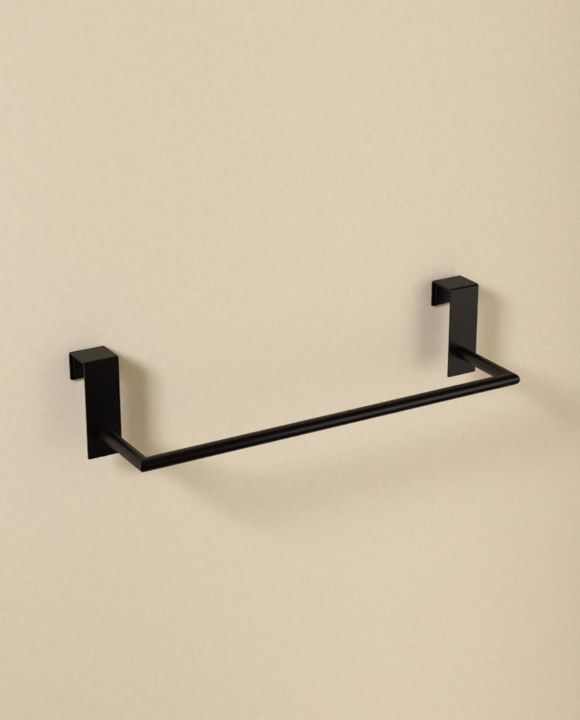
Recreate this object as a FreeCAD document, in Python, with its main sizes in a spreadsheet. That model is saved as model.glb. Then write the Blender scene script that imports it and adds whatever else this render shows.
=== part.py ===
import FreeCAD, Part
import math
import os

import Sketcher

# Towel bar that hangs over the top edge of a cabinet front, in millimetres.
# Two folded strip hooks drop over the panel. A round arm stands square out of each front plate,
# and a cross bar is mitred to both arms. +Z is up, +X runs along the bar and -Y faces the user.
# The origin is on the panel's top front edge, midway between the hooks.

SIZES = [
    ("hook_spacing", 316.0, "centre to centre of the hooks, and of the arms"),
    ("strip_width", 27.0, "width of the hook strip"),
    ("strip_thickness", 1.5, "thickness of the hook strip"),
    ("bend_radius", 1.0, "inside radius of the two folds"),
    ("strip_corner", 1.0, "corner radius at the two ends of the strip"),
    ("plate_height", 75.0, "front plate, from the top of the hook to its lower edge"),
    ("lip_height", 22.0, "rear lip, from the top of the hook to its lower edge"),
    ("panel_gap", 20.0, "clear width between the pads, where the panel goes"),
    ("bar_reach", 64.5, "front face of the plate to the axis of the cross bar"),
    ("arm_rise", 18.5, "lower edge of the front plate to the axis of the arms"),
    ("tube_diameter", 10.0, "outside diameter of the arms and the cross bar"),
    ("tube_wall", 1.0, "wall of the arms and the cross bar"),
    ("tube_chamfer", 0.3, "edge break at the hook end of an arm"),
    ("plug_length", 14.0, "length of the threaded plug in an arm"),
    ("plug_clearance", 0.02, "radial gap between the plug and the bore of its arm"),
    ("mouth_clearance", 0.2, "radial gap round the screw head at the mouth of the plug"),
    ("thread_diameter", 4.0, "outside diameter of the screw thread"),
    ("thread_clearance", 0.05, "radial gap between the screw and the bore of the plug"),
    ("screw_head", 8.0, "diameter of the countersunk screw head"),
    ("screw_length", 12.0, "overall length of the screw"),
    ("screw_chamfer", 0.5, "chamfer at the tip of the screw"),
    ("screw_hole", 4.5, "clearance hole for the screw through the front plate"),
    ("socket_width", 2.5, "hexagon socket of the screw, across the flats"),
    ("socket_depth", 1.5, "depth of the hexagon socket"),
    ("pad_thickness", 2.0, "thickness of the rubber pads"),
    ("pad_inset", 2.5, "edge of the strip to the edge of a pad"),
    ("pad_gap", 1.5, "end of a fold to the edge of a pad"),
    ("pad_corner", 2.0, "corner radius of a pad"),
    ("pad_edge", 0.4, "edge rounding of a pad's exposed face"),
    ("access_hole", 9.0, "hole in the front pad, round the screw head"),
]

COUNTERSINK_ANGLE = 90.0
HEXAGON_SIDES = 6
SAME_PLACE = 1e-4
LEFT, RIGHT = -1, 1


class Size:
    """A length that carries its number and the spreadsheet expression it comes from."""

    def __init__(self, value, text):
        self.value = value
        self.text = text

    @staticmethod
    def of(length):
        return length if isinstance(length, Size) else Size(float(length), str(float(length)))

    def __add__(self, other):
        other = Size.of(other)
        return Size(self.value + other.value, f"({self.text} + {other.text})")

    def __sub__(self, other):
        other = Size.of(other)
        return Size(self.value - other.value, f"({self.text} - {other.text})")

    def __mul__(self, factor):
        return Size(self.value * factor, f"({self.text} * {float(factor)})")

    def __truediv__(self, divisor):
        return Size(self.value / divisor, f"({self.text} / {float(divisor)})")

    def __neg__(self):
        return self * -1


def larger(first, second):
    return Size(max(first.value, second.value), f"max({first.text}; {second.text})")


def write_sheet(doc):
    """Puts the driving sizes into a spreadsheet and returns them by name."""
    sheet = doc.addObject("Spreadsheet::Sheet", "Sizes")
    for row, (alias, value, meaning) in enumerate(SIZES, start=1):
        sheet.set(f"A{row}", meaning)
        sheet.set(f"B{row}", str(value))
        sheet.setAlias(f"B{row}", alias)
    doc.recompute()
    return {alias: Size(sheet.get(alias), f"Sizes.{alias}") for alias, _, _ in SIZES}


# Sketch and feature helpers


def bind(feature, path, size):
    feature.setExpression(path, Size.of(size).text)


def new_body(doc, label, place):
    """An empty body whose label names its file, placed at three sizes."""
    body = doc.addObject("PartDesign::Body", label)
    body.Label = label
    for axis, size in zip("xyz", place):
        bind(body, f"Placement.Base.{axis}", size)
    return body


def origin_plane(body, role):
    return next(feature for feature in body.Origin.OriginFeatures if feature.Role == role)


def new_sketch(body, name, role, offset=0.0):
    """A sketch on one of the body's own planes, moved along that plane's normal."""
    sketch = body.newObject("Sketcher::SketchObject", name)
    sketch.AttachmentSupport = [(origin_plane(body, role), "")]
    sketch.MapMode = "FlatFace"
    bind(sketch, "AttachmentOffset.Base.z", offset)
    return sketch


def hold(sketch, kind, references, size, name):
    """A dimension in a sketch that follows the spreadsheet."""
    size = Size.of(size)
    index = sketch.addConstraint(Sketcher.Constraint(kind, *references, size.value))
    sketch.renameConstraint(index, name)
    bind(sketch, f"Constraints.{name}", size)


def hold_point(sketch, geometry, position, point, name):
    """Keeps a point of the sketch at two sizes from the sketch's origin."""
    hold(sketch, "DistanceX", (-1, 1, geometry, position), point[0], f"{name}_across")
    hold(sketch, "DistanceY", (-1, 1, geometry, position), point[1], f"{name}_up")


def vector(point):
    return FreeCAD.Vector(Size.of(point[0]).value, Size.of(point[1]).value, 0)


def draw_arc(sketch, start, end, centre):
    """The short arc from start to end. Returns its index and which of its ends comes first."""
    middle = vector(centre)
    angles = [math.atan2(p.y - middle.y, p.x - middle.x) for p in (vector(start), vector(end))]
    forward = (angles[1] - angles[0]) % (2 * math.pi) < math.pi
    if not forward:
        angles.reverse()
    circle = Part.Circle(middle, FreeCAD.Vector(0, 0, 1), (vector(start) - middle).Length)
    index = sketch.addGeometry(Part.ArcOfCircle(circle, *angles))
    return index, (1, 2) if forward else (2, 1)


def draw_outline(sketch, corners, arcs=None):
    """A closed loop through the corners. arcs gives, by corner number, the centre and the radius of
    the arc that leaves that corner; every other stretch is straight."""
    arcs = arcs or {}
    stretches = []
    for number, start in enumerate(corners):
        end = corners[(number + 1) % len(corners)]
        if number in arcs:
            centre, radius = arcs[number]
            stretches.append(draw_arc(sketch, start, end, centre))
            hold(sketch, "Radius", (stretches[-1][0],), radius, f"arc_{number}")
        else:
            stretches.append((sketch.addGeometry(Part.LineSegment(vector(start), vector(end))), (1, 2)))
    for number, (index, ends) in enumerate(stretches):
        before, before_ends = stretches[number - 1]
        sketch.addConstraint(Sketcher.Constraint("Coincident", before, before_ends[1], index, ends[0]))
        hold_point(sketch, index, ends[0], corners[number], f"corner_{number}")


def draw_circle(sketch, radius, name, centre=(0.0, 0.0)):
    circle = Part.Circle(vector(centre), FreeCAD.Vector(0, 0, 1), radius.value)
    index = sketch.addGeometry(circle)
    hold(sketch, "Radius", (index,), radius, f"{name}_radius")
    hold_point(sketch, index, 3, centre, f"{name}_centre")


def pad(body, sketch, length, side="One side", backwards=False):
    feature = body.newObject("PartDesign::Pad", "Pad")
    feature.Profile = sketch
    feature.SideType = side
    feature.Reversed = backwards
    bind(feature, "Length", length)
    body.Document.recompute()
    return feature


def cut_through(body, sketch):
    """Cuts the sketch's outline right through, to both sides of its plane."""
    feature = body.newObject("PartDesign::Pocket", "Cut")
    feature.Profile = sketch
    feature.SideType = "Symmetric"
    feature.Type = "ThroughAll"
    body.Document.recompute()
    return feature


def revolve(body, sketch):
    """Turns a half profile about the sketch's vertical axis."""
    feature = body.newObject("PartDesign::Revolution", "Turned")
    feature.Profile = sketch
    feature.ReferenceAxis = (sketch, ["V_Axis"])
    body.Document.recompute()
    return feature


def break_edges(body, kind, base, wanted, dimension, size):
    """Fillets or chamfers every edge of the base feature for which wanted(box) holds."""
    names = [f"Edge{n}" for n, edge in enumerate(base.Shape.Edges, start=1) if wanted(edge.BoundBox)]
    feature = body.newObject(f"PartDesign::{kind}", kind)
    feature.Base = (base, names)
    bind(feature, dimension, size)
    body.Document.recompute()
    return feature


def near(first, second):
    return abs(first - Size.of(second).value) < SAME_PLACE


# The heights and depths that several pieces share


class Layout:
    """Where the planes and axes of the towel bar lie, worked out from the sizes."""

    def __init__(self, size):
        self.plate_back = -size["pad_thickness"]
        self.plate_front = self.plate_back - size["strip_thickness"]
        self.lip_front = size["panel_gap"] + size["pad_thickness"]
        self.lip_back = self.lip_front + size["strip_thickness"]
        self.web_under = size["pad_thickness"]
        self.web_top = self.web_under + size["strip_thickness"]
        self.plate_bottom = self.web_top - size["plate_height"]
        self.lip_bottom = self.web_top - size["lip_height"]
        self.outer_bend = size["bend_radius"] + size["strip_thickness"]
        self.fold_line = self.web_top - self.outer_bend
        self.arm_axis = self.plate_bottom + size["arm_rise"]
        self.bar_axis = self.plate_front - size["bar_reach"]
        self.tube_radius = size["tube_diameter"] / 2
        self.bore_radius = self.tube_radius - size["tube_wall"]
        self.pad_half_width = size["strip_width"] / 2 - size["pad_inset"]
        self.pad_top = self.web_under - size["bend_radius"] - size["pad_gap"]

    def side(self, size, hand):
        """The X of the hook and the arm on one hand."""
        return size["hook_spacing"] / 2 * hand


# The pieces


def make_hook(doc, size, layout, hand, label):
    """A strip folded over the panel, drawn in profile and given its width. The lower corners are
    rounded and the front plate is countersunk from behind for the arm's screw."""
    body = new_body(doc, label, (layout.side(size, hand), 0.0, 0.0))
    front, back = layout.plate_front, layout.plate_back
    lip_front, lip_back = layout.lip_front, layout.lip_back
    fold = layout.fold_line
    front_fold, rear_fold = front + layout.outer_bend, lip_back - layout.outer_bend
    corners = [
        (front, layout.plate_bottom),
        (front, fold),
        (front_fold, layout.web_top),
        (rear_fold, layout.web_top),
        (lip_back, fold),
        (lip_back, layout.lip_bottom),
        (lip_front, layout.lip_bottom),
        (lip_front, fold),
        (rear_fold, layout.web_under),
        (front_fold, layout.web_under),
        (back, fold),
        (back, layout.plate_bottom),
    ]
    front_centre, rear_centre = (front_fold, fold), (rear_fold, fold)
    arcs = {
        1: (front_centre, layout.outer_bend),
        3: (rear_centre, layout.outer_bend),
        7: (rear_centre, size["bend_radius"]),
        9: (front_centre, size["bend_radius"]),
    }
    profile = new_sketch(body, "Fold", "YZ_Plane")
    draw_outline(profile, corners, arcs)
    strip = pad(body, profile, size["strip_width"], side="Symmetric")

    def lower_corner(box):
        at_an_end = near(box.ZMin, layout.plate_bottom) or near(box.ZMin, layout.lip_bottom)
        return at_an_end and box.XLength < SAME_PLACE and box.ZLength < SAME_PLACE

    break_edges(body, "Fillet", strip, lower_corner, "Radius", size["strip_corner"])

    mark = new_sketch(body, "ScrewPlace", "XZ_Plane", -layout.plate_back)
    draw_circle(mark, size["screw_hole"] / 2, "hole", (0.0, layout.arm_axis))
    doc.recompute()
    hole = body.newObject("PartDesign::Hole", "ScrewHole")
    hole.Profile = mark
    hole.DepthType = "ThroughAll"
    hole.HoleCutType = "Countersink"
    hole.HoleCutCustomValues = True
    hole.HoleCutCountersinkAngle = COUNTERSINK_ANGLE
    hole.Reversed = True
    bind(hole, "Diameter", size["screw_hole"])
    bind(hole, "HoleCutDiameter", size["screw_head"])
    return body


def draw_tube(sketch, layout):
    draw_circle(sketch, layout.tube_radius, "outside")
    draw_circle(sketch, layout.bore_radius, "bore")


def make_arm(doc, size, layout, hand, label):
    """A tube from the front plate to the corner, cut at 45 degrees through the bar's axis."""
    body = new_body(doc, label, (layout.side(size, hand), layout.plate_front, layout.arm_axis))
    ring = new_sketch(body, "Ring", "XZ_Plane")
    draw_tube(ring, layout)
    tube = pad(body, ring, size["bar_reach"] + layout.tube_radius)

    def hook_end(box):
        return near(box.YMax, 0.0) and box.YLength < SAME_PLACE and near(box.XMax, layout.tube_radius)

    break_edges(body, "Chamfer", tube, hook_end, "Size", size["tube_chamfer"])

    reach = size["tube_diameter"]
    near_end, far_end = reach - size["bar_reach"], -size["bar_reach"] - reach
    mitre = new_sketch(body, "Mitre", "XY_Plane")
    draw_outline(mitre, [(reach * -hand, near_end), (reach * -hand, far_end), (reach * hand, far_end)])
    cut_through(body, mitre)
    return body


def make_cross_bar(doc, size, layout, label):
    """A tube as long as the outer corners, cut at 45 degrees at both ends."""
    body = new_body(doc, label, (0.0, layout.bar_axis, layout.arm_axis))
    ring = new_sketch(body, "Ring", "YZ_Plane")
    draw_tube(ring, layout)
    pad(body, ring, size["hook_spacing"] + size["tube_diameter"], side="Symmetric")

    reach = size["tube_diameter"]
    corner = layout.side(size, RIGHT)
    mitre = new_sketch(body, "Mitre", "XY_Plane")
    draw_outline(mitre, [(corner - reach, reach), (corner + reach, reach), (corner + reach, -reach)])
    right_cut = cut_through(body, mitre)

    both_cuts = body.newObject("PartDesign::Mirrored", "BothEnds")
    both_cuts.Originals = [right_cut]
    both_cuts.MirrorPlane = (origin_plane(body, "YZ_Plane"), [""])
    body.Tip = both_cuts
    return body


def make_plug(doc, size, layout, hand, label):
    """A bored plug flush with the hook end of its arm. Its mouth clears the tip of the screw head."""
    body = new_body(doc, label, (layout.side(size, hand), layout.plate_front, layout.arm_axis))
    outside = layout.bore_radius - size["plug_clearance"]
    bore = size["thread_diameter"] / 2 + size["thread_clearance"]
    head_at_plug = size["screw_head"] / 2 - size["strip_thickness"]
    mouth = larger(head_at_plug, bore) + size["mouth_clearance"]
    far_end = -size["plug_length"]
    profile = new_sketch(body, "HalfPlug", "XY_Plane")
    draw_outline(
        profile,
        [(mouth, 0.0), (bore, bore - mouth), (bore, far_end), (outside, far_end), (outside, 0.0)],
    )
    revolve(body, profile)
    return body


def make_screw(doc, size, layout, hand, label):
    """A countersunk screw with a hexagon socket, its head flush with the back of the plate."""
    body = new_body(doc, label, (layout.side(size, hand), layout.plate_back, layout.arm_axis))
    head, shank = size["screw_head"] / 2, size["thread_diameter"] / 2
    tip = -size["screw_length"]
    profile = new_sketch(body, "HalfScrew", "XY_Plane")
    draw_outline(
        profile,
        [
            (0.0, 0.0),
            (0.0, tip),
            (shank - size["screw_chamfer"], tip),
            (shank, tip + size["screw_chamfer"]),
            (shank, shank - head),
            (head, 0.0),
        ],
    )
    revolve(body, profile)

    corner = size["socket_width"] / (2 * math.cos(math.pi / HEXAGON_SIDES))
    turns = [2 * math.pi * side / HEXAGON_SIDES for side in range(HEXAGON_SIDES)]
    socket = new_sketch(body, "Hexagon", "XZ_Plane")
    draw_outline(socket, [(corner * math.cos(turn), corner * math.sin(turn)) for turn in turns])
    pocket = body.newObject("PartDesign::Pocket", "Socket")
    pocket.Profile = socket
    pocket.Reversed = True
    bind(pocket, "Length", size["socket_depth"])
    return body


def round_pad(body, slab, size, axis, face_at):
    """Rounds the corners of a pad that is thin along one axis, then the edges of its exposed face."""

    def upright(box):
        spans = {"X": box.XLength, "Y": box.YLength, "Z": box.ZLength}
        thickness = spans.pop(axis)
        return max(spans.values()) < SAME_PLACE < thickness

    def exposed(box):
        low, span = getattr(box, f"{axis}Min"), getattr(box, f"{axis}Length")
        return span < SAME_PLACE and near(low, face_at)

    rounded = break_edges(body, "Fillet", slab, upright, "Radius", size["pad_corner"])
    break_edges(body, "Fillet", rounded, exposed, "Radius", size["pad_edge"])


def rectangle(half_width, low, high):
    return [(-half_width, low), (half_width, low), (half_width, high), (-half_width, high)]


def make_front_pad(doc, size, layout, hand, label):
    """The pad between the front plate and the panel, with a hole to reach the screw."""
    body = new_body(doc, label, (layout.side(size, hand), 0.0, 0.0))
    face = new_sketch(body, "Face", "XZ_Plane")
    low = layout.plate_bottom + size["pad_inset"]
    draw_outline(face, rectangle(layout.pad_half_width, low, layout.pad_top))
    slab = pad(body, face, size["pad_thickness"])
    round_pad(body, slab, size, "Y", 0.0)
    access = new_sketch(body, "Access", "XZ_Plane")
    draw_circle(access, size["access_hole"] / 2, "hole", (0.0, layout.arm_axis))
    cut_through(body, access)
    return body


def make_lip_pad(doc, size, layout, hand, label):
    """The pad on the inside of the rear lip."""
    body = new_body(doc, label, (layout.side(size, hand), 0.0, 0.0))
    face = new_sketch(body, "Face", "XZ_Plane", -size["panel_gap"])
    low = layout.lip_bottom + size["pad_inset"]
    draw_outline(face, rectangle(layout.pad_half_width, low, layout.pad_top))
    slab = pad(body, face, size["pad_thickness"], backwards=True)
    round_pad(body, slab, size, "Y", size["panel_gap"])
    return body


def make_top_pad(doc, size, layout, hand, label):
    """The pad under the web, which stands on the panel's top edge."""
    body = new_body(doc, label, (layout.side(size, hand), 0.0, 0.0))
    face = new_sketch(body, "Face", "XY_Plane")
    clear = size["bend_radius"] + size["pad_gap"]
    draw_outline(face, rectangle(layout.pad_half_width, layout.plate_back + clear, layout.lip_front - clear))
    slab = pad(body, face, size["pad_thickness"])
    round_pad(body, slab, size, "Z", 0.0)
    return body


def check_document(doc):
    """Stops if any object failed to build."""
    for item in doc.Objects:
        if {"Invalid", "Error"} & set(item.State):
            raise RuntimeError(f"{item.Label} failed to build: {item.State}")


def export(bodies):
    os.makedirs("parts", exist_ok=True)
    for body in bodies:
        if body.Shape.isNull() or not body.Shape.isValid() or not body.Shape.Solids:
            raise RuntimeError(f"{body.Label} has no valid solid")
    for body in bodies:
        body.Shape.exportStep(f"parts/{body.Label}.step")
        box = body.Shape.BoundBox
        print(f"{body.Label}: {body.Shape.Volume:.1f} mm3, X {box.XMin:.2f} to {box.XMax:.2f},"
              f" Y {box.YMin:.2f} to {box.YMax:.2f}, Z {box.ZMin:.2f} to {box.ZMax:.2f}")


def main():
    doc = FreeCAD.newDocument("TowelBar")
    size = write_sheet(doc)
    layout = Layout(size)
    pieces = {
        "hook": make_hook,
        "arm": make_arm,
        "plug": make_plug,
        "screw": make_screw,
        "front_pad": make_front_pad,
        "top_pad": make_top_pad,
        "lip_pad": make_lip_pad,
    }
    bodies = [make_cross_bar(doc, size, layout, "cross_bar")]
    for hand, name in ((LEFT, "left"), (RIGHT, "right")):
        bodies += [make(doc, size, layout, hand, f"{name}_{piece}") for piece, make in pieces.items()]
    doc.recompute()
    check_document(doc)
    export(bodies)


main()
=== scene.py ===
"""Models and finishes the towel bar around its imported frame.

The folded hooks, the mitred tubes and the rubber pads are new meshes. The screws and the plugs keep
theirs and get a finish.
"""

import math

import bpy
import numpy as np
from bpy.props import FloatProperty, FloatVectorProperty, PointerProperty, StringProperty
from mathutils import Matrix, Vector


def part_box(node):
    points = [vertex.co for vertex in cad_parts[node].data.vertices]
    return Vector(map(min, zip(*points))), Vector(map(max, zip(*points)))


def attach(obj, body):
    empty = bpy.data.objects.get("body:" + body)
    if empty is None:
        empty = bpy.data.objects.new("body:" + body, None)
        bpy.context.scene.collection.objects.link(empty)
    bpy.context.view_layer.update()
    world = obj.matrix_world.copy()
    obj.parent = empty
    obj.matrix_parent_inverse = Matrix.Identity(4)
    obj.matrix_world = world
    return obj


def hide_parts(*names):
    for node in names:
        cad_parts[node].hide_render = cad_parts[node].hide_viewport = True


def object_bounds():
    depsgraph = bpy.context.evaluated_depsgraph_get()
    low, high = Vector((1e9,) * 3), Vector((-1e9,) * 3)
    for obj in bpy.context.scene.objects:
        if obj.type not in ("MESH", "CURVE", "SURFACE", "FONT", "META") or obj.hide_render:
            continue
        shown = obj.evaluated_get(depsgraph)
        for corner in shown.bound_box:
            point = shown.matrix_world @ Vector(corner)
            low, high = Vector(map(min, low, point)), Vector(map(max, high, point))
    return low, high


bl_info = {
    "name": "Towel Bar",
    "version": (1, 0, 0),
    "blender": (4, 5, 0),
    "location": "3D View > Sidebar > Towel Bar",
    "description": "Models and finishes an over-panel towel bar around its packed frame",
    "category": "Object",
}

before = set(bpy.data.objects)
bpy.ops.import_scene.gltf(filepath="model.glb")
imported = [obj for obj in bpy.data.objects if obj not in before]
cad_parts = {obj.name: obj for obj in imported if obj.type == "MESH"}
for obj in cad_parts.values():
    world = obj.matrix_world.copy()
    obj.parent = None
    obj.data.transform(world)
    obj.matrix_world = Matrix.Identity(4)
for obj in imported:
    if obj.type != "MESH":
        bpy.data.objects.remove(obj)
CAD_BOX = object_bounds()

MM = 0.001
SIDES = ("left", "right")
X_AXIS = np.array([1.0, 0.0, 0.0])
Y_AXIS = np.array([0.0, 1.0, 0.0])
Z_AXIS = np.array([0.0, 0.0, 1.0])

# Steps that divide a full tube, a fold, a corner of an outline, a rounded edge, one side of the
# square of cells round a hole, and the cove between the wall and the floor.
TUBE_STEPS = 128
FOLD_STEPS = 16
CORNER_STEPS = 10
EDGE_STEPS = 5
HOLE_STEPS = 10
COVE_STEPS = 24

# Half the side of the square of cells round a hole, in hole radii.
HOLE_SQUARE = 1.5

# Nearly all values of a noise texture lie between these two.
NOISE_LOW = 0.3
NOISE_HIGH = 0.7

# Distances from the part between which the lit wall gives way to an even tone in a view.
FADE_START = 0.5
FADE_END = 0.85

# Rays between a lip and the wall behind it are shorter than this.
SHORT_RAY = 6 * MM

# Radius of the cove, top of the wall, front edge of the floor, and half the width of both.
COVE_RADIUS = 0.12
WALL_TOP = 2.0
FLOOR_FRONT = -16.0
SHEET_HALF_WIDTH = 9.0

# Long side of the camera's sensor in millimetres, and the nearest and farthest that it sees.
SENSOR_SIDE = 36.0
SIGHT_START = 0.05
SIGHT_END = 40.0


class TowelBarShape(bpy.types.PropertyGroup):
    """Sizes of the fine shapes, where the frame's boxes don't give them."""

    bend_radius: FloatProperty(
        name="Bend radius",
        description="Inside radius of the two folds in a hook",
        default=1.0 * MM,
        unit="LENGTH",
    )
    strip_corner: FloatProperty(
        name="Strip corner",
        description="Radius of the corners at the two ends of a hook's strip",
        default=1.0 * MM,
        unit="LENGTH",
    )
    strip_edge: FloatProperty(
        name="Strip edge",
        description="Rounding of the strip's edges under the coat",
        default=0.3 * MM,
        unit="LENGTH",
    )
    tube_wall: FloatProperty(
        name="Tube wall",
        description="Wall thickness of the arms and the bar",
        default=1.0 * MM,
        unit="LENGTH",
    )
    tube_edge: FloatProperty(
        name="Tube edge",
        description="Rounding of an arm's end where it stands on the plate",
        default=0.3 * MM,
        unit="LENGTH",
    )
    mitre_edge: FloatProperty(
        name="Mitre edge",
        description="Rounding of the tube's edge at a mitre, which leaves a fine line",
        default=0.25 * MM,
        unit="LENGTH",
    )
    pad_corner: FloatProperty(
        name="Pad corner",
        description="Radius of the corners of a rubber pad",
        default=2.0 * MM,
        unit="LENGTH",
    )
    pad_edge: FloatProperty(
        name="Pad edge",
        description="Rounding of a pad's edge on the side that meets the panel",
        default=0.4 * MM,
        unit="LENGTH",
    )
    pad_base_edge: FloatProperty(
        name="Pad base edge",
        description="Rounding of a pad's edge on the side that lies on the steel",
        default=0.1 * MM,
        unit="LENGTH",
    )
    pad_hole: FloatProperty(
        name="Pad hole",
        description="Diameter of the hole in a front pad, over the screw head",
        default=9.0 * MM,
        unit="LENGTH",
    )


class TowelBarFinish(bpy.types.PropertyGroup):
    """Colours of the finishes, as sRGB hex values."""

    coat: StringProperty(
        name="Coat",
        description="Powder coat on the steel, sRGB hex",
        default="#050504",
    )
    coat_light: StringProperty(
        name="Coat, lighter",
        description="Lighter patches of the powder coat, sRGB hex",
        default="#090807",
    )
    coat_gloss: StringProperty(
        name="Coat, gloss",
        description="Tint of the coat's reflections, sRGB hex",
        default="#FFF1E4",
    )
    rubber: StringProperty(
        name="Rubber",
        description="Moulded rubber pads, sRGB hex",
        default="#080808",
    )
    rubber_light: StringProperty(
        name="Rubber, lighter",
        description="Bloom on the rubber pads, sRGB hex",
        default="#0C0C0C",
    )
    zinc: StringProperty(
        name="Zinc",
        description="Zinc plating on the screws and plugs, sRGB hex",
        default="#C3C6C9",
    )
    wall: StringProperty(
        name="Wall",
        description="Painted wall and floor, sRGB hex",
        default="#D6CDBA",
    )
    wall_light: StringProperty(
        name="Wall, lighter",
        description="Crests of the wall paint's stipple, sRGB hex",
        default="#E2D9C6",
    )
    key_light: StringProperty(
        name="Key light",
        description="Colour of the main lamp, sRGB hex",
        default="#F4F6FF",
    )
    fill_light: StringProperty(
        name="Fill light",
        description="Colour of the light strip, sRGB hex",
        default="#FFFDFC",
    )
    room: StringProperty(
        name="Room",
        description="Colour of the room's even light, sRGB hex",
        default="#FFEAC8",
    )
    ground: StringProperty(
        name="Ground",
        description="Colour of the far wall and floor in a view, sRGB hex",
        default="#D7C8B1",
    )


class TowelBarStage(bpy.types.PropertyGroup):
    """Place of the camera, the wall and the lamps."""

    camera_place: FloatVectorProperty(
        name="Camera place",
        description="Where the camera stands, fitted to the edges of the hooks and the bar",
        default=(-0.64427, -1.09384, 0.46296),
        subtype="TRANSLATION",
        unit="LENGTH",
    )
    camera_turn: FloatVectorProperty(
        name="Camera turn",
        description="Tilt, roll and heading of the camera",
        default=(math.radians(68.818), 0.0, math.radians(-30.462)),
        subtype="EULER",
    )
    lens: FloatProperty(
        name="Lens",
        description="Focal length in millimetres, for a sensor with a long side of 36 mm",
        default=89.694,
        unit="CAMERA",
    )
    wall_gap: FloatProperty(
        name="Wall gap",
        description="Distance from the rear lips to the wall behind them",
        default=1.5 * MM,
        unit="LENGTH",
    )
    floor_drop: FloatProperty(
        name="Floor drop",
        description="Depth of the floor below the panel's top edge",
        default=1.1,
        unit="LENGTH",
    )
    key_place: FloatVectorProperty(
        name="Key place",
        description="Where the main soft lamp stands, at the upper left",
        default=(-1.55, -0.97, 0.98),
        subtype="TRANSLATION",
        unit="LENGTH",
    )
    key_aim: FloatVectorProperty(
        name="Key aim",
        description="Where the main lamp points, below the left half of the bar",
        default=(-0.10, 0.02, -0.25),
        subtype="TRANSLATION",
        unit="LENGTH",
    )
    key_size: FloatProperty(
        name="Key size",
        description="Side of the main lamp's square",
        default=0.42,
        unit="LENGTH",
    )
    key_spread: FloatProperty(
        name="Key spread",
        description="Angle to which the grid on the main lamp holds its light",
        default=math.radians(82),
        subtype="ANGLE",
    )
    key_power: FloatProperty(
        name="Key power",
        description="Power of the main lamp",
        default=9.1,
        unit="POWER",
    )
    fill_place: FloatVectorProperty(
        name="Fill place",
        description="Where the middle of the tall, soft light strip stands, close by on the right",
        default=(0.416, -0.496, -0.03),
        subtype="TRANSLATION",
        unit="LENGTH",
    )
    fill_aim: FloatVectorProperty(
        name="Fill aim",
        description="Where the strip of light points, at the right hook",
        default=(0.160, 0.011, -0.01),
        subtype="TRANSLATION",
        unit="LENGTH",
    )
    fill_width: FloatProperty(
        name="Fill width",
        description="Width of the strip of light",
        default=0.42,
        unit="LENGTH",
    )
    fill_height: FloatProperty(
        name="Fill height",
        description="Height of the strip of light",
        default=1.55,
        unit="LENGTH",
    )
    fill_spread: FloatProperty(
        name="Fill spread",
        description="Angle to which the grid on the strip holds its light",
        default=math.radians(58),
        subtype="ANGLE",
    )
    fill_power: FloatProperty(
        name="Fill power",
        description="Power of the strip of light",
        default=0.68,
        unit="POWER",
    )
    room_light: FloatProperty(
        name="Room light",
        description="Even light from the room, where 1 is white",
        default=0.43,
        subtype="FACTOR",
    )
    room_gloss: FloatProperty(
        name="Room in gloss",
        description="How light the room in front shows in a gloss, where 1 is white",
        default=0.02,
        subtype="FACTOR",
    )


class Shell:
    """A surface, gathered patch by patch.

    Patches share their border points, so a piece is closed, and keep their own normals.
    """

    def __init__(self):
        self.points = np.zeros((0, 3))
        self.quads = np.zeros((0, 4), int)
        self.normals = np.zeros((0, 4, 3))

    def add_points(self, points):
        """Keeps an array of points, coordinates last, and returns their indices in its layout."""
        start = len(self.points)
        self.points = np.concatenate([self.points, points.reshape(-1, 3)])
        return np.arange(start, len(self.points)).reshape(points.shape[:-1])

    def add_patch(self, indices, normals, keep=None):
        """Joins the neighbours in a grid as quads, in the cells to keep.

        A quad that faces against its normals is turned round.
        """
        quads = cell_corners(indices)
        facing = cell_corners(np.broadcast_to(normals, (*indices.shape, 3)))
        cells = np.ones(quads.shape[:2], bool) if keep is None else keep
        quads, facing = quads[cells], facing[cells]
        corners = self.points[quads]
        across = np.cross(corners[:, 2] - corners[:, 0], corners[:, 3] - corners[:, 1])
        turned = np.einsum("ij,ikj->i", across, facing) < 0
        quads[turned] = quads[turned, ::-1]
        facing[turned] = facing[turned, ::-1]
        self.quads = np.concatenate([self.quads, quads])
        self.normals = np.concatenate([self.normals, facing])

    def make_object(self, name, material):
        """Makes the object, at the origin, with its place in its mesh."""
        mesh = bpy.data.meshes.new(name)
        mesh.from_pydata(self.points.tolist(), [], self.quads.tolist())
        mesh.polygons.foreach_set("use_smooth", np.ones(len(self.quads), bool))
        mesh.normals_split_custom_set(self.normals.reshape(-1, 3).tolist())
        mesh.materials.append(material)
        made = bpy.data.objects.new(name, mesh)
        bpy.context.scene.collection.objects.link(made)
        return made

    def make_piece(self, name, node, material, slot):
        """Makes the piece that stands for a node of the frame."""
        piece = self.make_object(name, material)
        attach(piece, "root")
        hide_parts(node)


def cell_corners(grid):
    """The four corners of each cell in a grid, in order round the cell."""
    return np.stack([grid[:-1, :-1], grid[1:, :-1], grid[1:, 1:], grid[:-1, 1:]], axis=2)


def border(grid):
    """The closed loop round the border of a grid, with its first entry again at the end."""
    sides = [grid[0, :-1], grid[:-1, -1], grid[-1, :0:-1], grid[:0:-1, 0], grid[:1, 0]]
    return np.concatenate(sides)


def unit(vectors):
    """Vectors of length one."""
    return vectors / np.linalg.norm(vectors, axis=-1, keepdims=True)


class Hole:
    """A round hole through a slab: its place along the slab, and its radius on the two faces.

    The square of cells that it takes out of the faces follows from the larger radius.
    """

    def __init__(self, along, upper, lower):
        self.along = along
        self.upper = upper
        self.lower = lower
        self.half_square = HOLE_SQUARE * max(upper, lower)


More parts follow.
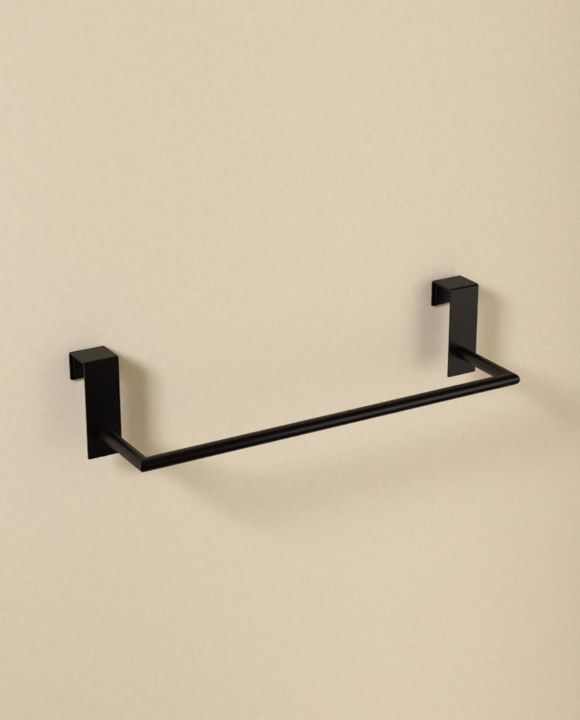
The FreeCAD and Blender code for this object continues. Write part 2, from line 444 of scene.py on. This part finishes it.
class Slab:
    """Flat stock with rounded corners and edges, laid along a path.

    Along the path, across it and above it are the slab's own three directions. A corner of the
    outline is a quarter circle, so at an inset d from the outline its radius is the corner's less
    d. Each face is a grid: its rows follow the path and end on the inset outline, and its columns
    divide the width in fixed shares. The rim is the outline carried round the edges: inset and
    height follow a quarter circle at the upper edge and another at the lower one. A hole is a
    square of cells left out of both grids, filled from its border to a circle.
    """

    def __init__(self, path, length, width, thickness, corner, upper_edge, lower_edge):
        self.path = path
        self.length = length
        self.width = width
        self.thickness = thickness
        self.corner = corner
        self.upper_edge = upper_edge
        self.lower_edge = lower_edge

    def lay_out(self, stations, hole):
        """Sets the columns' shares of the width, and each row's turn of the outline and centre."""
        if hole:
            square = np.linspace(-hole.half_square, hole.half_square, HOLE_STEPS + 1)
            stations = np.sort(np.concatenate([stations, hole.along + square]))
            shares = np.concatenate([[-1.0], square / (self.width / 2), [1.0]])
        else:
            # As many columns as beside and across a hole.
            shares = np.linspace(-1.0, 1.0, HOLE_STEPS + 3)
        quarter = np.linspace(0, math.pi / 2, CORNER_STEPS + 1)
        straight = np.full(len(stations), math.pi / 2)
        first = np.full(len(quarter), self.corner)
        last = np.full(len(quarter), self.length - self.corner)
        self.shares = shares
        self.turn = np.concatenate([quarter, straight, quarter + math.pi / 2])
        self.centre = np.concatenate([first, stations, last])

    def face_grid(self, inset):
        """Along and across of a face grid: half the inset outline, times each column's share."""
        reach = self.corner - inset
        along = self.centre - reach * np.cos(self.turn)
        half = self.width / 2 - self.corner + reach * np.sin(self.turn)
        return np.outer(along, np.ones_like(self.shares)), np.outer(half, self.shares)

    def place(self, along, across, above):
        """Points of the slab in the frame."""
        start, _, up = self.path(along)
        return start + np.multiply.outer(across, X_AXIS) + np.asarray(above)[..., None] * up

    def direct(self, along, parts):
        """Vectors of the slab in the frame, from their parts along, across and above the path."""
        _, tangent, up = self.path(along)
        forward, sideways, upward = (np.asarray(part)[..., None] for part in parts)
        return forward * tangent + sideways * X_AXIS + upward * up

    def make_shell(self, stations, hole=None):
        """The closed shell of the slab."""
        self.lay_out(np.asarray(stations, float), hole)
        shell = Shell()
        half = self.thickness / 2
        outlines, squares = {}, {}
        for side, edge in ((1, self.upper_edge), (-1, self.lower_edge)):
            along, across = self.face_grid(edge)
            above = np.full(along.shape, side * half)
            indices = shell.add_points(self.place(along, across, above))
            outlines[side] = border(indices)
            keep = np.ones((along.shape[0] - 1, along.shape[1] - 1), bool)
            if hole:
                first = int(np.argmin(np.abs(self.centre - (hole.along - hole.half_square))))
                keep[first : first + HOLE_STEPS, 1 : 1 + HOLE_STEPS] = False
                square = np.s_[first : first + HOLE_STEPS + 1, 1 : HOLE_STEPS + 2]
                squares[side] = [border(grid[square]) for grid in (indices, along, across)]
            shell.add_patch(indices, self.direct(along, (0.0, 0.0, float(side))), keep)
        self.add_rim(shell, outlines)
        if hole:
            self.add_hole(shell, hole, squares)
        return shell

    def add_rim(self, shell, outlines):
        """Carries the outline round the upper edge and then the lower one."""
        half = self.thickness / 2
        quarter = np.linspace(0, math.pi / 2, EDGE_STEPS + 1)
        angle = np.concatenate([quarter, quarter + math.pi / 2])
        edge = np.repeat([self.upper_edge, self.lower_edge], len(quarter))
        centre = np.repeat([half - self.upper_edge, self.lower_edge - half], len(quarter))
        inset = edge * (1 - np.sin(angle))
        above = centre + edge * np.cos(angle)
        grids = [self.face_grid(one) for one in inset]
        along = np.stack([border(grid[0]) for grid in grids])
        across = np.stack([border(grid[1]) for grid in grids])
        above = np.broadcast_to(above[:, None], along.shape)
        # Outward from the outline is back along the path at one end, forward at the other, and
        # sideways between.
        outward_along = border(np.outer(-np.cos(self.turn), np.ones_like(self.shares)))
        outward_across = border(np.outer(np.sin(self.turn), self.shares))
        out = np.sin(angle)[:, None]
        up = np.broadcast_to(np.cos(angle)[:, None], along.shape)
        normals = self.direct(along, (out * outward_along, out * outward_across, up))
        middle = shell.add_points(self.place(along, across, above)[1:-1, :-1])
        middle = np.concatenate([middle, middle[:, :1]], axis=1)
        indices = np.concatenate([outlines[1][None], middle, outlines[-1][None]])
        shell.add_patch(indices, normals)

    def add_hole(self, shell, hole, squares):
        """Fills each square to its circle, and joins the circles by the hole's wall."""
        half = self.thickness / 2
        circles = []
        for side, radius in ((1, hole.upper), (-1, hole.lower)):
            square, along, across = squares[side]
            angle = np.arctan2(along - hole.along, across)
            ring_along = hole.along + radius * np.sin(angle)
            above = np.full(angle.shape, side * half)
            ring = self.place(ring_along, radius * np.cos(angle), above)
            indices = shell.add_points(ring[:-1])
            circles.append(np.append(indices, indices[0]))
            normals = self.direct(np.stack([along, ring_along]), (0.0, 0.0, float(side)))
            shell.add_patch(np.stack([square, circles[-1]]), normals)
        # The wall's normal points at the hole's axis, and leans by the slope between the radii.
        slope = (hole.upper - hole.lower) / self.thickness
        parts = (-np.sin(angle), -np.cos(angle), np.full(angle.shape, slope))
        wall = unit(self.direct(np.full(angle.shape, hole.along), parts))
        shell.add_patch(np.stack(circles), np.stack([wall, wall]))


def straight_path(start, tangent, up):
    """A path that runs straight from a point, with one direction along it and one above it."""

    def path(along):
        return start + np.multiply.outer(along, tangent), tangent, up

    return path


class HookFold:
    """The middle line of a hook's strip, read from the boxes of the hook and of its pads.

    The plate's pad gives the strip's thickness. The lip ends as far below its pad as the plate
    does below its own.
    """

    def __init__(self, side, bend_radius):
        low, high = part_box(f"{side}_hook")
        plate_pad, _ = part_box(f"{side}_front_pad")
        lip_pad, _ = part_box(f"{side}_lip_pad")
        self.middle = (low.x + high.x) / 2
        self.width = high.x - low.x
        self.thickness = plate_pad.y - low.y
        self.radius = bend_radius + self.thickness / 2
        self.front = low.y + self.thickness / 2
        self.bottom = low.z
        top = high.z - self.thickness / 2
        lip_bottom = lip_pad.z - (plate_pad.z - low.z)
        self.plate = top - self.radius - low.z
        self.fold = self.radius * math.pi / 2
        self.web = high.y - low.y - self.thickness - 2 * self.radius
        self.lip = top - self.radius - lip_bottom
        self.first_fold = self.plate
        self.second_fold = self.plate + self.fold + self.web
        self.length = self.second_fold + self.fold + self.lip

    def path(self, along):
        """Up the plate, a quarter circle back, along the web, a quarter circle, down the lip."""
        radius = self.radius
        first = np.clip((along - self.first_fold) / radius, 0, math.pi / 2)
        second = np.clip((along - self.second_fold) / radius, 0, math.pi / 2)
        on_web = np.clip(along - self.first_fold - self.fold, 0, self.web)
        on_lip = np.maximum(along - self.second_fold - self.fold, 0)
        y = self.front + radius * (1 - np.cos(first)) + on_web + radius * np.sin(second)
        z = self.bottom + np.minimum(along, self.plate) + radius * np.sin(first)
        z = z - radius * (1 - np.cos(second)) - on_lip
        heading = first + second
        start = np.stack([np.full(np.shape(along), self.middle), y, z], axis=-1)
        tangent = np.stack([np.zeros_like(heading), np.sin(heading), np.cos(heading)], axis=-1)
        up = np.stack([np.zeros_like(heading), -np.cos(heading), np.sin(heading)], axis=-1)
        return start, tangent, up

    def stations(self):
        """Rows where the strip needs them: through both folds."""
        bend = np.linspace(0, self.fold, FOLD_STEPS + 1)
        return np.concatenate([self.first_fold + bend, self.second_fold + bend])


class TubeEnd:
    """One end of a tube: the place where its axis ends, its cut's lean and its edge's rounding.

    The lean is how far the cut goes back along the axis for each step inward.
    """

    def __init__(self, at, lean, edge):
        self.at = at
        self.lean = lean
        self.edge = edge


def tube_shell(origin, along, inward, radius, bore, ends):
    """A round tube with a square or a mitred cut at each end.

    A point at angle u and radius r lies r cos u inward and r sin u up from the axis. Along the axis
    it lies at the row's place less the row's lean times r cos u, so a lean of one is a cut at 45
    degrees. The outside, the two cuts and the bore are four patches round one closed loop of rows.
    """
    turn = np.linspace(0, 2 * math.pi, TUBE_STEPS, endpoint=False)
    sideways = np.cos(turn)[:, None] * inward + np.sin(turn)[:, None] * Z_AXIS
    quarter = np.linspace(0, math.pi / 2, EDGE_STEPS + 1)
    row_radius, row_at, row_lean, row_normals, cuts = [], [], [], [], []
    for sign, end in zip((-1, 1), ends):
        cut = unit(sign * along + sign * end.lean * inward)
        # From the cut to the outside at the first end, and back to the cut at the second.
        angle = quarter[::-1] if sign < 0 else quarter
        row_radius.append(radius - end.edge * (1 - np.cos(angle)))
        row_at.append(end.at - sign * end.edge * (1 - np.sin(angle)))
        row_lean.append(np.full(len(angle), float(end.lean)))
        out = np.cos(angle)[:, None, None]
        past = np.sin(angle)[:, None, None]
        row_normals.append(unit(out * sideways + past * cut))
        cuts.append(cut)
    outside = 2 * len(quarter)
    row_radius.append(np.array([bore, bore]))
    row_at.append(np.array([ends[1].at, ends[0].at]))
    row_lean.append(np.array([ends[1].lean, ends[0].lean], float))
    row_radius, row_at, row_lean = map(np.concatenate, (row_radius, row_at, row_lean))
    axial = row_at[:, None] - np.outer(row_lean * row_radius, np.cos(turn))
    points = origin + axial[..., None] * along + row_radius[:, None, None] * sideways
    shell = Shell()
    indices = shell.add_points(points)
    indices = np.concatenate([indices, indices[:, :1]], axis=1)
    sideways = np.concatenate([sideways, sideways[:1]])
    normals = np.concatenate(row_normals)
    normals = np.concatenate([normals, normals[:, :1]], axis=1)
    shell.add_patch(indices[:outside], normals)
    shell.add_patch(indices[[outside - 1, outside]], cuts[1])
    shell.add_patch(indices[[outside, outside + 1]], -sideways)
    shell.add_patch(indices[[outside + 1, 0]], cuts[0])
    return shell


def hex_to_linear(code):
    """An sRGB hex value as linear red, green, blue and an alpha of one."""
    channels = [int(code[place : place + 2], 16) / 255 for place in (1, 3, 5)]
    linear = [c / 12.92 if c <= 0.04045 else ((c + 0.055) / 1.055) ** 2.4 for c in channels]
    return (*linear, 1.0)


def add_node(tree, kind, inputs=None, **settings):
    """Adds a node, sets what is given, and links the inputs that are given as sockets."""
    node = tree.nodes.new(kind)
    for name, value in settings.items():
        setattr(node, name, value)
    for name, value in (inputs or {}).items():
        if isinstance(value, bpy.types.NodeSocket):
            tree.links.new(value, node.inputs[name])
        else:
            node.inputs[name].default_value = value
    return node


def new_tree(name):
    """A new material and its empty node tree, or no tree where the material is there already."""
    material = bpy.data.materials.get(name)
    if material:
        return material, None
    material = bpy.data.materials.new(name)
    material.use_nodes = True
    material.node_tree.nodes.clear()
    return material, material.node_tree


def powder_coated_steel(finish):
    """Polyester powder, sprayed dry on steel and baked.

    It is near black, with a soft sheen and a fine orange peel.
    """
    material, tree = new_tree("powder_coated_steel")
    if tree is None:
        return material
    place = add_node(tree, "ShaderNodeTexCoord").outputs["Object"]
    # Real orange peel is about 0.5 mm from crest to crest. It is drawn at 1.2 mm, so that it shows
    # in the render.
    peel = add_node(
        tree,
        "ShaderNodeTexNoise",
        {"Vector": place, "Scale": 1 / (1.2 * MM), "Detail": 2.0},
    )
    bump = add_node(
        tree,
        "ShaderNodeBump",
        {"Height": peel.outputs["Fac"], "Strength": 0.25, "Distance": 0.02 * MM},
    )
    # The film is a little thicker in places some 15 mm wide, which are smoother and a shade
    # lighter.
    film = add_node(
        tree,
        "ShaderNodeTexNoise",
        {"Vector": place, "Scale": 1 / (15 * MM), "Detail": 3.0},
    )
    sheen = add_node(
        tree,
        "ShaderNodeMapRange",
        {
            "Value": film.outputs["Fac"],
            "From Min": NOISE_LOW,
            "From Max": NOISE_HIGH,
            "To Min": 0.33,
            "To Max": 0.27,
        },
    )
    # Seen at a low angle, the peel's crests hide the gloss between them, so the coat stays matt up
    # to its outline.
    facing = add_node(tree, "ShaderNodeLayerWeight", {"Blend": 0.5})
    roughness = add_node(
        tree,
        "ShaderNodeMapRange",
        {
            "Value": facing.outputs["Facing"],
            "From Min": 0.52,
            "From Max": 0.95,
            "To Min": sheen.outputs["Result"],
            "To Max": 0.9,
        },
    )
    colour = add_node(
        tree,
        "ShaderNodeMix",
        {
            "Factor": film.outputs["Fac"],
            "A": hex_to_linear(finish.coat),
            "B": hex_to_linear(finish.coat_light),
        },
        data_type="RGBA",
    )
    # The black has a brown cast where it catches the light, so its gloss is a little warm.
    shader = add_node(
        tree,
        "ShaderNodeBsdfPrincipled",
        {
            "Base Color": colour.outputs["Result"],
            "Roughness": roughness.outputs["Result"],
            "Normal": bump.outputs["Normal"],
            "IOR": 1.5,
            "Specular IOR Level": 0.28,
            "Specular Tint": hex_to_linear(finish.coat_gloss),
        },
    )
    add_node(tree, "ShaderNodeOutputMaterial", {"Surface": shader.outputs["BSDF"]})
    return material


def moulded_rubber(finish):
    """Black rubber, pressed in an etched mould: satin, with a fine grain and a slight bloom."""
    material, tree = new_tree("moulded_rubber")
    if tree is None:
        return material
    place = add_node(tree, "ShaderNodeTexCoord").outputs["Object"]
    # The mould's grain is about 0.3 mm across. It is drawn at 0.8 mm, so that it shows in the
    # render.
    grain = add_node(
        tree,
        "ShaderNodeTexNoise",
        {"Vector": place, "Scale": 1 / (0.8 * MM), "Detail": 3.0},
    )
    bump = add_node(
        tree,
        "ShaderNodeBump",
        {"Height": grain.outputs["Fac"], "Strength": 0.4, "Distance": 0.05 * MM},
    )
    # Bloom settles on the rubber in cloudy spots about 6 mm wide, duller and a shade lighter.
    bloom = add_node(
        tree,
        "ShaderNodeTexNoise",
        {"Vector": place, "Scale": 1 / (6 * MM), "Detail": 4.0},
    )
    roughness = add_node(
        tree,
        "ShaderNodeMapRange",
        {
            "Value": bloom.outputs["Fac"],
            "From Min": NOISE_LOW,
            "From Max": NOISE_HIGH,
            "To Min": 0.4,
            "To Max": 0.5,
        },
    )
    colour = add_node(
        tree,
        "ShaderNodeMix",
        {
            "Factor": bloom.outputs["Fac"],
            "A": hex_to_linear(finish.rubber),
            "B": hex_to_linear(finish.rubber_light),
        },
        data_type="RGBA",
    )
    shader = add_node(
        tree,
        "ShaderNodeBsdfPrincipled",
        {
            "Base Color": colour.outputs["Result"],
            "Roughness": roughness.outputs["Result"],
            "Normal": bump.outputs["Normal"],
            "IOR": 1.52,
            "Specular IOR Level": 0.22,
        },
    )
    add_node(tree, "ShaderNodeOutputMaterial", {"Surface": shader.outputs["BSDF"]})
    return material


def zinc_plated_steel(finish):
    """Steel turned on a lathe and plated with bright zinc: grey metal with faint cloudy patches."""
    material, tree = new_tree("zinc_plated_steel")
    if tree is None:
        return material
    place = add_node(tree, "ShaderNodeTexCoord").outputs["Object"]
    # Zinc's patches are about 1.5 mm wide on a small part.
    patches = add_node(
        tree,
        "ShaderNodeTexNoise",
        {"Vector": place, "Scale": 1 / (1.5 * MM), "Detail": 4.0},
    )
    roughness = add_node(
        tree,
        "ShaderNodeMapRange",
        {
            "Value": patches.outputs["Fac"],
            "From Min": NOISE_LOW,
            "From Max": NOISE_HIGH,
            "To Min": 0.24,
            "To Max": 0.38,
        },
    )
    bump = add_node(
        tree,
        "ShaderNodeBump",
        {"Height": patches.outputs["Fac"], "Strength": 0.15, "Distance": 0.02 * MM},
    )
    shader = add_node(
        tree,
        "ShaderNodeBsdfPrincipled",
        {
            "Base Color": hex_to_linear(finish.zinc),
            "Metallic": 1.0,
            "Roughness": roughness.outputs["Result"],
            "Normal": bump.outputs["Normal"],
        },
    )
    add_node(tree, "ShaderNodeOutputMaterial", {"Surface": shader.outputs["BSDF"]})
    return material


def painted_wall(finish):
    """Matt wall paint, rolled on: pale and warm, with a faint stipple.

    It is clear from behind, so that views from there see the part past it.
    """
    material, tree = new_tree("painted_wall")
    if tree is None:
        return material
    place = add_node(tree, "ShaderNodeTexCoord").outputs["Object"]
    # The roller leaves a stipple about 4 mm wide, with finer grain in it.
    stipple = add_node(
        tree,
        "ShaderNodeTexNoise",
        {"Vector": place, "Scale": 1 / (4 * MM), "Detail": 4.0},
    )
    bump = add_node(
        tree,
        "ShaderNodeBump",
        {"Height": stipple.outputs["Fac"], "Strength": 1.0, "Distance": 0.06 * MM},
    )
    colour = add_node(
        tree,
        "ShaderNodeMix",
        {
            "Factor": stipple.outputs["Fac"],
            "A": hex_to_linear(finish.wall),
            "B": hex_to_linear(finish.wall_light),
        },
        data_type="RGBA",
    )
    paint = add_node(
        tree,
        "ShaderNodeBsdfDiffuse",
        {"Color": colour.outputs["Result"], "Normal": bump.outputs["Normal"]},
    )
    # Far from the part, where the lamps don't reach, the paint shows evenly pale to the camera.
    ray = add_node(tree, "ShaderNodeLightPath").outputs
    distance = add_node(tree, "ShaderNodeVectorMath", {0: place}, operation="LENGTH")
    far = add_node(
        tree,
        "ShaderNodeMapRange",
        {
            "Value": distance.outputs["Value"],
            "From Min": FADE_START,
            "From Max": FADE_END,
            "To Max": ray["Is Camera Ray"],
        },
        interpolation_type="SMOOTHSTEP",
    )
    pale = add_node(tree, "ShaderNodeEmission", {"Color": hex_to_linear(finish.ground)})
    front = add_node(
        tree,
        "ShaderNodeMixShader",
        {"Fac": far.outputs["Result"], 1: paint.outputs["BSDF"], 2: pale.outputs["Emission"]},
    )
    # A lip stands close to the wall. Short rays between the two pass through the wall, so that the
    # lip's back isn't left unlit.
    short = add_node(
        tree,
        "ShaderNodeMath",
        {0: ray["Ray Length"], 1: SHORT_RAY},
        operation="LESS_THAN",
    )
    passing = add_node(
        tree,
        "ShaderNodeMath",
        {0: short.outputs["Value"], 1: ray["Is Camera Ray"]},
        operation="SUBTRACT",
    )
    back = add_node(tree, "ShaderNodeNewGeometry").outputs["Backfacing"]
    see_through = add_node(
        tree,
        "ShaderNodeMath",
        {0: passing.outputs["Value"], 1: back},
        operation="MAXIMUM",
    )
    clear = add_node(tree, "ShaderNodeBsdfTransparent")
    mixed = add_node(
        tree,
        "ShaderNodeMixShader",
        {"Fac": see_through.outputs["Value"], 1: front.outputs["Shader"], 2: clear.outputs["BSDF"]},
    )
    add_node(tree, "ShaderNodeOutputMaterial", {"Surface": mixed.outputs["Shader"]})
    return material


class TOWELBAR_OT_hooks(bpy.types.Operator):
    """Build the two hooks, each a strip folded over the panel"""

    bl_idname = "towel_bar.add_hooks"
    bl_label = "Add Hooks"

    def execute(self, context):
        shape = context.scene.towel_bar_shape
        material = powder_coated_steel(context.scene.towel_bar_finish)
        for side in SIDES:
            fold = HookFold(side, shape.bend_radius)
            strip = Slab(
                fold.path,
                fold.length,
                fold.width,
                fold.thickness,
                corner=shape.strip_corner,
                upper_edge=shape.strip_edge,
                lower_edge=shape.strip_edge,
            )
            low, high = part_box(f"{side}_screw")
            head = (high.x - low.x) / 2
            # The countersink's radius shrinks by as much as the plate is thick.
            hole = Hole((low.z + high.z) / 2 - fold.bottom, head - fold.thickness, head)
            shell = strip.make_shell(fold.stations(), hole)
            shell.make_piece(f"{side}_hook_strip", f"{side}_hook", material, "black_coated_steel")
        return {"FINISHED"}


class TOWELBAR_OT_arms(bpy.types.Operator):
    """Build the two arms, square at the plate and mitred at the bar"""

    bl_idname = "towel_bar.add_arms"
    bl_label = "Add Arms"

    def execute(self, context):
        shape = context.scene.towel_bar_shape
        material = powder_coated_steel(context.scene.towel_bar_finish)
        for side in SIDES:
            low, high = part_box(f"{side}_arm")
            radius = (high.z - low.z) / 2
            origin = np.array([(low.x + high.x) / 2, high.y, (low.z + high.z) / 2])
            inward = -np.sign(origin[0]) * X_AXIS
            # The box reaches to the mitre's outer point, one radius past the corner of the axes.
            length = high.y - low.y - radius
            ends = (TubeEnd(0.0, 0, shape.tube_edge), TubeEnd(length, 1, shape.mitre_edge))
            shell = tube_shell(origin, -Y_AXIS, inward, radius, radius - shape.tube_wall, ends)
            shell.make_piece(f"{side}_arm_tube", f"{side}_arm", material, "black_coated_steel")
        return {"FINISHED"}


class TOWELBAR_OT_cross_bar(bpy.types.Operator):
    """Build the bar between the arms, mitred at both ends"""

    bl_idname = "towel_bar.add_cross_bar"
    bl_label = "Add Cross Bar"

    def execute(self, context):
        shape = context.scene.towel_bar_shape
        material = powder_coated_steel(context.scene.towel_bar_finish)
        low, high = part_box("cross_bar")
        radius = (high.z - low.z) / 2
        origin = np.array([(low.x + high.x) / 2, (low.y + high.y) / 2, (low.z + high.z) / 2])
        half = (high.x - low.x) / 2 - radius
        ends = (TubeEnd(-half, -1, shape.mitre_edge), TubeEnd(half, 1, shape.mitre_edge))
        shell = tube_shell(origin, X_AXIS, Y_AXIS, radius, radius - shape.tube_wall, ends)
        shell.make_piece("cross_bar_tube", "cross_bar", material, "black_coated_steel")
        return {"FINISHED"}


class TOWELBAR_OT_pads(bpy.types.Operator):
    """Build the rubber pads on the inside of the hooks"""

    bl_idname = "towel_bar.add_pads"
    bl_label = "Add Pads"

    def execute(self, context):
        shape = context.scene.towel_bar_shape
        material = moulded_rubber(context.scene.towel_bar_finish)
        # Each pad runs along one axis, and its upper face looks into the slot.
        layouts = {
            "front": (Z_AXIS, Y_AXIS),
            "top": (Y_AXIS, -Z_AXIS),
            "lip": (Z_AXIS, -Y_AXIS),
        }
        for side in SIDES:
            low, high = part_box(f"{side}_screw")
            screw = np.array([(low.x + high.x) / 2, 0.0, (low.z + high.z) / 2])
            for kind, (tangent, up) in layouts.items():
                name = f"{side}_{kind}_pad"
                low, high = (np.array(corner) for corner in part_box(name))
                size = high - low
                start = (low + high) / 2 - tangent * (size @ tangent) / 2
                pad = Slab(
                    straight_path(start, tangent, up),
                    size @ np.abs(tangent),
                    size[0],
                    size @ np.abs(up),
                    corner=shape.pad_corner,
                    upper_edge=shape.pad_edge,
                    lower_edge=shape.pad_base_edge,
                )
                hole = None
                if kind == "front":
                    reach = (screw - start) @ tangent
                    hole = Hole(reach, shape.pad_hole / 2, shape.pad_hole / 2)
                shell = pad.make_shell([], hole)
                shell.make_piece(f"{name}_rubber", name, material, "black_rubber")
        return {"FINISHED"}


class TOWELBAR_OT_fixings(bpy.types.Operator):
    """Finish the screws and the plugs that hold the arms"""

    bl_idname = "towel_bar.finish_fixings"
    bl_label = "Finish Screws and Plugs"

    def execute(self, context):
        material = zinc_plated_steel(context.scene.towel_bar_finish)
        for side in SIDES:
            for kind in ("screw", "plug"):
                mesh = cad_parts[f"{side}_{kind}"].data
                mesh.materials.clear()
                mesh.materials.append(material)
        return {"FINISHED"}


def add_lamp(name, place, aim, width, height, spread, power, colour):
    """A soft lamp with a flat face at a place, turned towards its aim, that no camera sees."""
    lamp = bpy.data.lights.new(name, "AREA")
    lamp.shape = "RECTANGLE"
    lamp.size = width
    lamp.size_y = height
    lamp.spread = spread
    lamp.energy = power
    lamp.color = hex_to_linear(colour)[:3]
    holder = bpy.data.objects.new(name, lamp)
    holder.location = place
    holder.rotation_euler = (Vector(aim) - Vector(place)).to_track_quat("-Z", "Y").to_euler()
    holder.visible_camera = False
    bpy.context.scene.collection.objects.link(holder)


class TOWELBAR_OT_stage(bpy.types.Operator):
    """Set the wall, the floor, the lamps and the camera"""

    bl_idname = "towel_bar.add_stage"
    bl_label = "Add Stage"

    def execute(self, context):
        scene = context.scene
        stage = scene.towel_bar_stage
        finish = scene.towel_bar_finish
        self.add_backdrop(stage, finish)
        add_lamp(
            "key_lamp",
            stage.key_place,
            stage.key_aim,
            stage.key_size,
            stage.key_size,
            stage.key_spread,
            stage.key_power,
            finish.key_light,
        )
        add_lamp(
            "fill_lamp",
            stage.fill_place,
            stage.fill_aim,
            stage.fill_width,
            stage.fill_height,
            stage.fill_spread,
            stage.fill_power,
            finish.fill_light,
        )
        self.add_room(scene, stage, finish)
        self.add_camera(scene, stage)
        scene.view_settings.view_transform = "Standard"
        return {"FINISHED"}

    def add_backdrop(self, stage, finish):
        """The wall, and the floor with a cove that meets it.

        A profile of two straight lines and a quarter circle between them is carried sideways.
        """
        wall = CAD_BOX[1].y + stage.wall_gap
        centre = (wall - COVE_RADIUS) * Y_AXIS + (COVE_RADIUS - stage.floor_drop) * Z_AXIS
        quarter = np.linspace(0, math.pi / 2, COVE_STEPS + 1)
        turn = np.concatenate([quarter[:1], quarter, quarter[-1:]])
        normals = -np.outer(np.cos(turn), Y_AXIS) + np.outer(np.sin(turn), Z_AXIS)
        profile = centre - COVE_RADIUS * normals
        profile[0, 2] = WALL_TOP
        profile[-1, 1] = FLOOR_FRONT
        aside = SHEET_HALF_WIDTH * X_AXIS
        points = np.stack([profile - aside, profile + aside])
        normals = np.stack([normals, normals])
        # The wall shows in the coat's gloss. The floor doesn't, so that undersides stay black.
        sheets = (("wall", np.s_[:, :2], True), ("floor", np.s_[:, 1:], False))
        for name, rows, in_gloss in sheets:
            shell = Shell()
            shell.add_patch(shell.add_points(points[rows]), normals[rows])
            sheet = shell.make_object(name, painted_wall(finish))
            sheet.visible_glossy = in_gloss

    def add_room(self, scene, stage, finish):
        """A room with even, warm light, pale to the camera and dark in front to a gloss."""
        world = bpy.data.worlds.new("room")
        world.use_nodes = True
        tree = world.node_tree
        tree.nodes.clear()
        direction = add_node(tree, "ShaderNodeTexCoord").outputs["Generated"]
        parts = add_node(tree, "ShaderNodeSeparateXYZ", {"Vector": direction})
        in_front = add_node(
            tree,
            "ShaderNodeMath",
            {0: parts.outputs["Y"], 1: 0.0},
            operation="LESS_THAN",
        )
        ray = add_node(tree, "ShaderNodeLightPath").outputs
        dark = add_node(
            tree,
            "ShaderNodeMath",
            {0: in_front.outputs["Value"], 1: ray["Is Glossy Ray"]},
            operation="MULTIPLY",
        )
        level = add_node(
            tree,
            "ShaderNodeMapRange",
            {
                "Value": dark.outputs["Value"],
                "To Min": stage.room_light,
                "To Max": stage.room_gloss,
            },
        )
        light = add_node(
            tree,
            "ShaderNodeBackground",
            {"Color": hex_to_linear(finish.room), "Strength": level.outputs["Result"]},
        )
        pale = add_node(
            tree,
            "ShaderNodeBackground",
            {"Color": hex_to_linear(finish.ground), "Strength": 1.0},
        )
        seen = add_node(
            tree,
            "ShaderNodeMixShader",
            {
                "Fac": ray["Is Camera Ray"],
                1: light.outputs["Background"],
                2: pale.outputs["Background"],
            },
        )
        add_node(tree, "ShaderNodeOutputWorld", {"Surface": seen.outputs["Shader"]})
        scene.world = world

    def add_camera(self, scene, stage):
        """The camera at the viewing angle of the photograph."""
        camera = bpy.data.cameras.new("photo_camera")
        camera.lens = stage.lens
        camera.sensor_width = SENSOR_SIDE
        camera.clip_start = SIGHT_START
        camera.clip_end = SIGHT_END
        holder = bpy.data.objects.new("photo_camera", camera)
        holder.location = stage.camera_place
        holder.rotation_euler = stage.camera_turn
        scene.collection.objects.link(holder)
        scene.camera = holder


class TOWELBAR_PT_panel(bpy.types.Panel):
    """Lists the pieces, the sizes and the finishes"""

    bl_idname = "TOWELBAR_PT_panel"
    bl_label = "Towel Bar"
    bl_space_type = "VIEW_3D"
    bl_region_type = "UI"
    bl_category = "Towel Bar"

    def draw(self, context):
        for operator in OPERATORS:
            self.layout.operator(operator.bl_idname)
        for settings in SETTINGS:
            group = getattr(context.scene, settings)
            box = self.layout.box()
            for name in group.__annotations__:
                box.prop(group, name)


OPERATORS = (
    TOWELBAR_OT_hooks,
    TOWELBAR_OT_arms,
    TOWELBAR_OT_cross_bar,
    TOWELBAR_OT_pads,
    TOWELBAR_OT_fixings,
    TOWELBAR_OT_stage,
)
SETTINGS = {
    "towel_bar_shape": TowelBarShape,
    "towel_bar_finish": TowelBarFinish,
    "towel_bar_stage": TowelBarStage,
}


def register():
    """Makes the settings, the operators and the panel known to Blender."""
    for settings, group in SETTINGS.items():
        bpy.utils.register_class(group)
        setattr(bpy.types.Scene, settings, PointerProperty(type=group))
    for operator in OPERATORS:
        bpy.utils.register_class(operator)
    bpy.utils.register_class(TOWELBAR_PT_panel)


def unregister():
    """Takes them out again, in reverse."""
    bpy.utils.unregister_class(TOWELBAR_PT_panel)
    for operator in reversed(OPERATORS):
        bpy.utils.unregister_class(operator)
    for settings, group in SETTINGS.items():
        delattr(bpy.types.Scene, settings)
        bpy.utils.unregister_class(group)


def main():
    """Builds every piece and the stage."""
    register()
    bpy.ops.towel_bar.add_hooks()
    bpy.ops.towel_bar.add_arms()
    bpy.ops.towel_bar.add_cross_bar()
    bpy.ops.towel_bar.add_pads()
    bpy.ops.towel_bar.finish_fixings()
    bpy.ops.towel_bar.add_stage()


if __name__ == "__main__":
    main()
